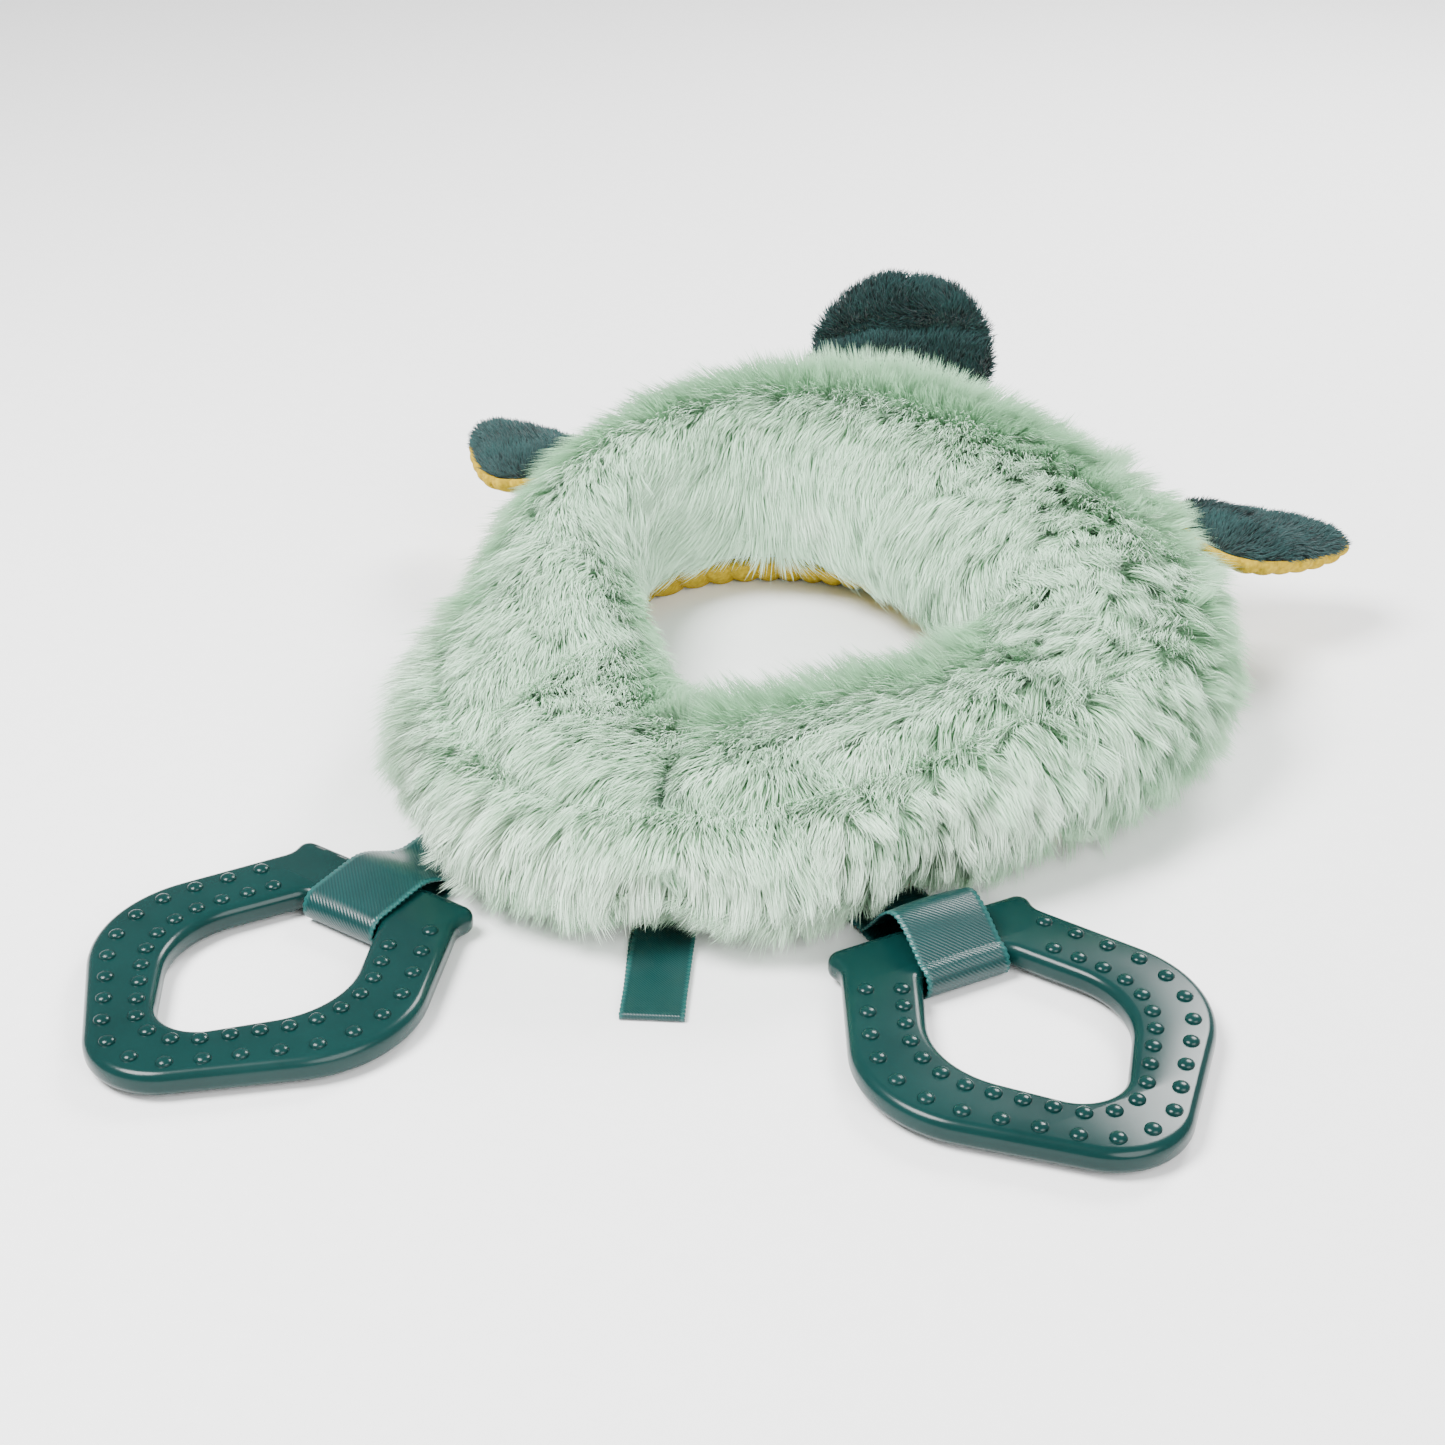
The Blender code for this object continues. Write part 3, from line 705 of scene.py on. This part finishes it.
def pad_object(label, name, first, last, columns, material, inset, ribbed):
    """One face of a flap, from section first to last, closed by a lining inside."""
    rows = 160
    u = np.linspace(0.0, 360.0, rows, endpoint=False)
    v = np.linspace(first, last, columns)
    a, b = [part.ravel() for part in np.meshgrid(u, v, indexing="ij")]
    outer = flap_surface(name, a, b, inset, ribbed)
    lining = flap_surface(name, a, b * 0.85, 1.5)
    face, hidden = outer.reshape(rows, columns, 3), lining.reshape(rows, columns, 3)[:, ::-1]
    points = np.concatenate([face, hidden], axis=1)
    faces = grid_faces(rows, 2 * columns, wrap_rows=True, wrap_columns=True)
    return mesh_object(label, points.reshape(-1, 3), faces, material)


def build_pile(name, first, last, density, length, width):
    """Short plush over one face of a flap."""
    def surface(u, v):
        return flap_surface(name, u, v, PILE_INSET)

    u, v = scatter(surface, (0.0, first), (360.0, last), density)
    roots = surface(u, v)
    step = 0.5
    round_outline = surface(u + step, v) - surface(u - step, v)
    over_face = surface(u, v + step) - surface(u, v - step)
    normals = unit_rows(np.cross(round_outline, over_face))
    back = flap_surface(name, np.zeros(1), np.array([89.9]))
    front = flap_surface(name, np.zeros(1), np.array([-89.9]))
    middle = back * 0.5 + front * 0.5
    normals = normals * np.sign(dot(normals, roots - middle))
    turned, _ = flap_matrix(FLAPS[name])
    combed = np.broadcast_to(turned[:, 1], roots.shape)
    nap = unit_rows(combed - normals * dot(combed, normals) + 1e-6)
    nap = turn_about(nap, normals, 0.9 * soft_noise(roots, 14.0, 21) + RANDOM.normal(0.0, 0.35, len(roots)))
    lengths = length * RANDOM.uniform(0.75, 1.15, len(roots))
    lift = 52.0 + 14.0 * soft_noise(roots, 9.0, 22) + RANDOM.normal(0.0, 8.0, len(roots))
    paths = grow(roots, normals, nap, lengths, lift, lift - 15.0, 3)
    sides = turned_sides(paths, normals, PILE_ROLL)
    widths = width * RANDOM.uniform(0.7, 1.2, len(roots))
    tints = 0.45 + 0.20 * soft_noise(roots, 8.0, 23) + RANDOM.normal(0.0, 0.12, len(roots))
    tints = np.clip(tints, 0.03, 0.97)
    pile = blade_object(f"{name}_pile", paths, sides, widths, tints, DARK_PILE)
    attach(pile, name)


EAR_SPLIT = 16.0  # the corduroy comes up round the ear's rim as far as this


def build_stuffing(name):
    """What fills a flap, in the flap's own bent shape."""
    rows, columns = 60, 24
    u = np.linspace(0.0, 360.0, rows, endpoint=False)
    a, b = [part.ravel() for part in np.meshgrid(u, np.linspace(-88.0, 88.0, columns), indexing="ij")]
    points = flap_surface(name, a, b, FLAP_STUFFING_INSET)
    stuffing = mesh_object(f"{name}_stuffing", points, grid_faces(rows, columns, wrap_rows=True), FIBRE)
    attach(stuffing, name)
    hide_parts(f"{name}_filling")


def build_ear(name):
    back = pad_object(f"{name}_plush_back", name, EAR_SPLIT, 89.0, 22, DARK_BACKING, PILE_INSET, False)
    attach(back, name)
    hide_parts(f"{name}_back")
    front = pad_object(f"{name}_corduroy", name, -89.0, EAR_SPLIT - 1, 44, CORDUROY, 0.0, True)
    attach(front, name)
    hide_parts(f"{name}_front")
    build_pile(name, EAR_SPLIT, 88.0, 10.0, 2.2, 0.30)
    build_stuffing(name)


def build_crest():
    for face, first, last in (("back", -2.0, 89.0), ("front", -89.0, -2.0)):
        pad = pad_object(f"crest_plush_{face}", "crest", first, last, 24, DARK_BACKING, PILE_INSET, False)
        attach(pad, "crest")
        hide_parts(f"crest_{face}")
    build_pile("crest", -88.0, 88.0, 11.0, 2.6, 0.30)
    build_stuffing("crest")


# ---------------------------------------------------------------- level frames
def level_frame(position, heading):
    """Right, forward and origin of a level frame with y along the heading, in the world."""
    angle = math.radians(heading)
    forward = np.array([math.cos(angle), math.sin(angle), 0.0])
    right = np.array([math.sin(angle), -math.cos(angle), 0.0])
    origin = np.array([position[0] + RING_MIDDLE[0], position[1] + RING_MIDDLE[1], 0.0])
    return right, forward, origin


def in_frame(points, level):
    right, forward, origin = level
    upward = np.array([0, 0, 1.0])
    return points[..., 0:1] * right + points[..., 1:2] * forward + points[..., 2:3] * upward + origin


# ---------------------------------------------------------------- teether rings
def rounded_outline(points, degrees_a_step):
    """A closed outline through the corner points, each corner an arc of its own radius, mirrored in x."""
    corners = [Vector((x, y)) for x, y, _ in points]
    rounds = [radius for _, _, radius in points]
    for x, y, radius in reversed([point for point in points if point[0] > 0]):
        corners.append(Vector((-x, y)))
        rounds.append(radius)
    outline = []
    for index, corner in enumerate(corners):
        before = (corners[index - 1] - corner).normalized()
        after = (corners[(index + 1) % len(corners)] - corner).normalized()
        half = before.angle(after) / 2
        centre = corner + (before + after).normalized() * rounds[index] / math.sin(half)
        start = corner + before * rounds[index] / math.tan(half) - centre
        turn = (math.pi - 2 * half) * (1 if before.cross(after) > 0 else -1)
        steps = max(3, round(math.degrees(abs(turn)) / degrees_a_step))
        for step in range(steps + 1):
            outline.append(centre + Matrix.Rotation(-turn * step / steps, 2) @ start)
    return outline


def even_outline(outline, count):
    """The outline's points again, count of them evenly apart."""
    points = np.array([tuple(point) for point in outline])
    points = np.concatenate([points, points[:1]])
    run = np.concatenate([[0.0], np.cumsum(np.linalg.norm(np.diff(points, axis=0), axis=1))])
    wanted = np.linspace(0.0, run[-1], count, endpoint=False)
    return np.stack([np.interp(wanted, run, points[:, axis]) for axis in range(2)], axis=-1)


def distance_along(outline, middle, directions):
    """How far the outline is from the middle along each direction."""
    points = np.array([tuple(point) for point in outline])
    starts, ends = points - middle, np.roll(points, -1, axis=0) - middle
    edges = ends - starts
    found = []
    for direction in directions:
        across = direction[0] * edges[:, 1] - direction[1] * edges[:, 0]
        across = np.where(np.abs(across) < 1e-9, 1e-9, across)
        reach = (starts[:, 0] * edges[:, 1] - starts[:, 1] * edges[:, 0]) / across
        share = (starts[:, 0] * direction[1] - starts[:, 1] * direction[0]) / across
        found.append(reach[(share >= 0) & (share <= 1) & (reach > 0)].max())
    return np.array(found)


DOMES = 46
DOME_RADIUS = 1.35
DOME_HEIGHT = 0.75
DOME_SUNK = 0.25  # the foot of a dome reaches this far into the plate
DOME_ROWS = (0.27, 0.72)  # shares of the way from the hole to the rim
DOMES_FROM = -17.5  # the domes stop here, short of the bar


def dome_places(outer, hole):
    """Two staggered rows between the hole and the rim, leaving the bar bare."""
    middle = np.array([0.0, 3.0])
    angles = np.radians(np.linspace(-90.0, 270.0, 1441))
    directions = np.stack([np.cos(angles), np.sin(angles)], axis=-1)
    near, far = distance_along(hole, middle, directions), distance_along(outer, middle, directions)
    half_way = middle + directions * ((near + far) / 2)[:, None]
    bare = half_way[:, 1] < DOMES_FROM
    steps = np.linalg.norm(np.diff(half_way, axis=0), axis=1)
    runs = np.concatenate([[0.0], np.cumsum(np.where(bare[1:], 0.0, steps))])
    wanted = (np.arange(DOMES) + 0.5) / DOMES * runs[-1]
    places = []
    for number, run in enumerate(wanted):
        index = int(np.searchsorted(runs, run))
        reach = near[index] + (far[index] - near[index]) * DOME_ROWS[number % 2]
        places.append(middle + directions[index] * reach)
    return places


def build_plate(side, level):
    """The plate: a flat outline with its hole, thick and well rounded at its edges."""
    curve = bpy.data.curves.new(f"{side}_plate", "CURVE")
    curve.dimensions = "2D"
    curve.fill_mode = "BOTH"
    edge_round = 1.7
    curve.extrude = (TEETHER_THICKNESS / 2 - edge_round) * MM
    curve.bevel_depth = edge_round * MM
    curve.bevel_resolution = 5
    curve.offset = -edge_round * MM
    bar_middle = (BAR_INNER + BAR_OUTER) / 2
    for points in (OUTER_POINTS, HOLE_POINTS):
        outline = even_outline(rounded_outline(points, 3), 240 if points is OUTER_POINTS else 160)
        spline = curve.splines.new("POLY")
        spline.points.add(len(outline) - 1)
        spline.use_cyclic_u = True
        for point, corner in zip(spline.points, outline):
            point.co = (corner[0] * MM, (corner[1] - bar_middle) * MM, 0, 1)
    holder = bpy.data.objects.new(f"{side}_plate", curve)
    bpy.context.scene.collection.objects.link(holder)
    bpy.context.view_layer.update()
    data = bpy.data.meshes.new_from_object(holder.evaluated_get(bpy.context.evaluated_depsgraph_get()))
    bpy.data.objects.remove(holder, do_unlink=True)
    bpy.data.curves.remove(curve)
    points = np.empty(len(data.vertices) * 3)
    data.vertices.foreach_get("co", points)
    points = points.reshape(-1, 3) / MM + np.array([0, 0, TEETHER_BASE + TEETHER_THICKNESS / 2])
    data.vertices.foreach_set("co", (in_frame(points, level) * MM).ravel())
    data.materials.clear()
    data.materials.append(PLASTIC)
    plate = bpy.data.objects.new(f"{side}_teether_plate", data)
    bpy.context.scene.collection.objects.link(plate)
    weld = plate.modifiers.new("join caps", "WELD")
    weld.merge_threshold = 0.00001
    data.shade_smooth()
    return plate


def build_domes(side, level):
    """The raised dots on both faces, each a low round cap sunk a little into the plate."""
    outer, hole = rounded_outline(OUTER_POINTS, 5), rounded_outline(HOLE_POINTS, 5)
    bar_middle = (BAR_INNER + BAR_OUTER) / 2
    rings, corners = 6, 20
    turn = np.radians(np.arange(corners) * 360.0 / corners)
    all_points, all_faces = [], []
    for place in dome_places(outer, hole):
        for face in (1, -1):
            base = sum(len(part) for part in all_points)
            surface = TEETHER_BASE + (TEETHER_THICKNESS if face == 1 else 0.0)
            cap = []
            for ring in range(rings):
                up = math.radians(90.0 * ring / rings)
                radius = DOME_RADIUS * math.cos(up)
                height = DOME_HEIGHT * math.sin(up) - (DOME_SUNK if ring == 0 else 0.0)
                cap.append(np.stack([place[0] + radius * np.cos(turn),
                                     place[1] - bar_middle + radius * np.sin(turn),
                                     np.full(corners, surface + face * height)], axis=-1))
            top = np.array([[place[0], place[1] - bar_middle, surface + face * DOME_HEIGHT]])
            points = np.concatenate([*cap, top])
            faces = grid_faces(rings, corners, wrap_columns=True, flip=face == 1)
            last = (rings - 1) * corners
            for corner in range(corners):
                here, beside, peak = last + corner, last + (corner + 1) % corners, rings * corners
                fan = (here, beside, peak) if face == 1 else (beside, here, peak)
                all_faces.append([base + index for index in fan])
            all_points.append(points)
            for quad in faces:
                all_faces.append([base + quad[0], base + quad[1], base + quad[2]])
                all_faces.append([base + quad[0], base + quad[2], base + quad[3]])
    points = in_frame(np.concatenate(all_points), level)
    return mesh_object(f"{side}_teether_domes", points, all_faces, PLASTIC)


def build_teether(side):
    spec = SIDES[side]
    level = level_frame(spec["bar"], spec["heading"])
    plate = build_plate(side, level)
    domes = build_domes(side, level)
    for piece in (plate, domes):
        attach(piece, f"{side}_teether")
    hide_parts(f"{side}_teether")


# ---------------------------------------------------------------- ribbons
CLIMB_RATE = 1.7  # the climb to the bar is over this many times sooner than the layer ends


def upper_height(along, reach, arch):
    """The height of a loop's upper layer: flat beneath the plush, then up and over the bar."""
    end = reach + (BAR_INNER - BAR_OUTER) / 2 - WRAP_START
    share = np.clip((along - LIFTS_FROM) / (end - LIFTS_FROM), 0.0, 1.0)
    climb = smooth_step(share * CLIMB_RATE, 0.0, 1.0)
    return UPPER_LAYER + (OVER_BAR - UPPER_LAYER) * climb + arch * np.sin(math.pi * share)


def loop_path(reach, arch):
    """Out over the bar, round its inner edge and back beneath it, as (along, height)."""
    end = reach + (BAR_INNER - BAR_OUTER) / 2 - WRAP_START
    out = np.linspace(0.0, end, 60)
    upper = np.stack([out, upper_height(out, reach, arch)], axis=-1)
    turn = np.radians(np.linspace(90.0, -90.0, 19)[1:-1])
    wrap_middle, wrap_radius = (OVER_BAR + LOWER_LAYER) / 2, (OVER_BAR - LOWER_LAYER) / 2
    wrap = np.stack([end + WRAP_DEPTH * np.cos(turn), wrap_middle + wrap_radius * np.sin(turn)], axis=-1)
    back = np.linspace(end, 0.0, 60)
    lower = np.stack([back, np.full(60, LOWER_LAYER)], axis=-1)
    return np.concatenate([upper, wrap, lower])


def tag_path():
    fold = TAG_LENGTH - 0.5
    out = np.linspace(0.0, fold, 40)
    middle, radius = (UPPER_LAYER + LOWER_LAYER) / 2, (UPPER_LAYER - LOWER_LAYER) / 2
    turn = np.radians(np.linspace(90.0, -90.0, 9)[1:-1])
    upper = np.stack([out, np.full(40, UPPER_LAYER)], axis=-1)
    wrap = np.stack([fold + 0.5 * np.cos(turn), middle + radius * np.sin(turn)], axis=-1)
    lower = np.stack([out[::-1], np.full(40, LOWER_LAYER)], axis=-1)
    return np.concatenate([upper, wrap, lower])


SATIN_SPAN = 0.2  # the ribbon's width in its own texture, where its length is 1


def ribbon_object(name, path, width, level, skew, crown):
    """A woven strip along a path, with its looped selvedge along both edges."""
    run = np.concatenate([[0.0], np.cumsum(np.linalg.norm(np.diff(path, axis=0), axis=1))])
    rows = max(60, int(run[-1] / 0.28))
    even = np.linspace(0.0, run[-1], rows)
    along, height = [np.interp(even, run, path[:, axis]) for axis in range(2)]
    columns = 17
    across = np.linspace(-1.0, 1.0, columns)
    picot = 0.28 * np.abs(np.sin(math.pi * even / 1.1))
    sideways = across[None, :] * (width / 2 - 0.12 + picot[:, None] * (np.abs(across) > 0.99)[None, :])
    half = run[-1] / 2
    shift = skew[0] * smooth_step(along, 4.0, along.max())
    shift = shift + skew[1] * smooth_step(even, half, run[-1])
    sideways = sideways + shift[:, None]
    rise = np.sin(math.pi * np.clip(along / along.max(), 0, 1))[:, None]
    lifted = crown * (1 - across[None, :] ** 2) * rise
    lifted = lifted * (even < half)[:, None]
    shape = sideways.shape
    points = np.stack([sideways, np.broadcast_to(along[:, None], shape), height[:, None] + lifted], axis=-1)
    uv = np.stack([np.broadcast_to((across[None, :] + 1) / 2 * SATIN_SPAN, shape),
                   np.broadcast_to((even / run[-1])[:, None], shape)], axis=-1)
    faces = grid_faces(rows, columns)
    ribbon = mesh_object(name, in_frame(points.reshape(-1, 3), level), faces, SATIN, uv.reshape(-1, 2))
    solidify = ribbon.modifiers.new("thickness", "SOLIDIFY")
    solidify.thickness = RIBBON * MM
    solidify.offset = 0.0
    return ribbon, run[-1]


def build_stitches(side, level, height):
    """The sewn line across the loop: short stitches, each dipping into the ribbon at both ends."""
    stitches, spacing, radius, corners = 8, 1.62, 0.2, 8
    length = 1.15
    turn = np.arange(corners) * 2 * math.pi / corners
    points, faces = [], []
    for number in range(stitches):
        start = (number - (stitches - 1) / 2) * spacing
        bend = np.linspace(-1.0, 1.0, 7)
        for step in bend:
            thick = radius * math.sqrt(max(1 - step * step, 0.0)) + 0.02
            ring = np.stack([np.full(corners, start + step * length / 2),
                             LOOP_STITCH_AT + thick * np.cos(turn),
                             height + RIBBON / 2 + 0.12 - 0.16 * step * step + thick * np.sin(turn)], axis=-1)
            points.append(ring)
        faces.append(grid_faces(len(bend), corners, wrap_columns=True) + number * len(bend) * corners)
    stitched = mesh_object(f"{side}_loop_stitches", in_frame(np.concatenate(points), level),
                           np.concatenate(faces), THREAD)
    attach(stitched, f"{side}_ribbon")
    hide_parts(f"{side}_loop_stitch")


LOOP_SKEW = {"left": (-0.9, 0.0), "right": (0.4, -0.5)}  # sideways drift of the upper and the lower layer
LOOP_CROWN = 0.5  # how far the upper layer bulges along its middle


def build_ribbons():
    for side, spec in SIDES.items():
        reach, arch = spec["ribbon_reach"], spec["arch"]
        heading = math.radians(spec["heading"])
        root = (spec["bar"][0] - math.cos(heading) * reach, spec["bar"][1] - math.sin(heading) * reach)
        level = level_frame(root, spec["heading"])
        path = loop_path(reach, arch)
        loop, length = ribbon_object(f"{side}_ribbon_satin", path, LOOP_RIBBON_WIDTH, level,
                                     LOOP_SKEW[side], LOOP_CROWN)
        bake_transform(loop)
        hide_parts(f"{side}_ribbon_loop")
        build_stitches(side, level, float(upper_height(np.array(LOOP_STITCH_AT), reach, arch)))
    level = level_frame(TAG_ROOT, TAG_HEADING)
    tag, length = ribbon_object("ribbon_tag_satin", tag_path(), TAG_RIBBON_WIDTH, level, (0.0, 0.6), 0.0)
    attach(tag, "tag")
    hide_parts("ribbon_tag")


# ---------------------------------------------------------------- what stays from the CAD
def finish_cad_nodes():
    """The sewing threads between plush and corduroy keep their CAD shapes and get their own materials."""
    finishes = {"outer_seam_thread": PALE_THREAD,
                "inner_seam_thread": PALE_THREAD}
    for node, material in finishes.items():
        for material_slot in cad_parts[node].material_slots:
            material_slot.material = material


# ---------------------------------------------------------------- studio
CAMERA_AT = (RING_MIDDLE[0] + 102.0, RING_MIDDLE[1] - 384.7, 226.4)
CAMERA_TARGET = (RING_MIDDLE[0] - 12.6, RING_MIDDLE[1] - 9.6, 0.0)
LENS = 59.8


def aim(thing, target):
    direction = Vector(target) * MM - thing.location
    thing.rotation_euler = direction.to_track_quat("-Z", "Y").to_euler()


def add_camera():
    data = bpy.data.cameras.new("camera")
    data.lens = LENS
    data.sensor_width = 36.0
    data.clip_start = 0.01
    camera = bpy.data.objects.new("camera", data)
    bpy.context.scene.collection.objects.link(camera)
    camera.location = Vector(CAMERA_AT) * MM
    aim(camera, CAMERA_TARGET)
    bpy.context.scene.camera = camera


def add_light(name, position, size, watts):
    data = bpy.data.lights.new(name, "AREA")
    data.shape = "DISK"
    data.size = size
    data.energy = watts
    light = bpy.data.objects.new(name, data)
    bpy.context.scene.collection.objects.link(light)
    light.location = Vector(position) * MM
    aim(light, (0.0, 0.0, 20.0))


def add_floor():
    size = 4000.0
    material, tree, shader = new_material("floor_paper", 0.9)
    grain = noise_value(tree, 300.0)
    tree.links.new(colour_ramp(tree, grain, ((0.3, (0.93, 0.93, 0.93)), (0.7, (0.95, 0.95, 0.95)))),
                   shader.inputs["Base Color"])
    corners = np.array([[-size, -size, 0], [size, -size, 0], [size, size, 0], [-size, size, 0]])
    mesh_object("floor", corners, [[0, 1, 2, 3]], material)


def add_world():
    world = bpy.data.worlds.new("studio")
    world.use_nodes = True
    background = world.node_tree.nodes["Background"]
    background.inputs["Color"].default_value = (1.0, 1.0, 1.0, 1.0)
    background.inputs["Strength"].default_value = 0.58
    bpy.context.scene.world = world


add_camera()
add_floor()
add_world()
add_light("key", (-300.0, -260.0, 650.0), 0.36, 15.0)
add_light("fill", (420.0, -380.0, 420.0), 0.5, 5.0)
add_light("rim", (180.0, 520.0, 480.0), 0.30, 7.0)

build_skin()
build_ring_stuffing()
build_band_seam()
build_fur()
build_front_cover()
build_ear("left_ear")
build_ear("right_ear")
build_crest()
build_teether("left")
build_teether("right")
build_ribbons()
finish_cad_nodes()
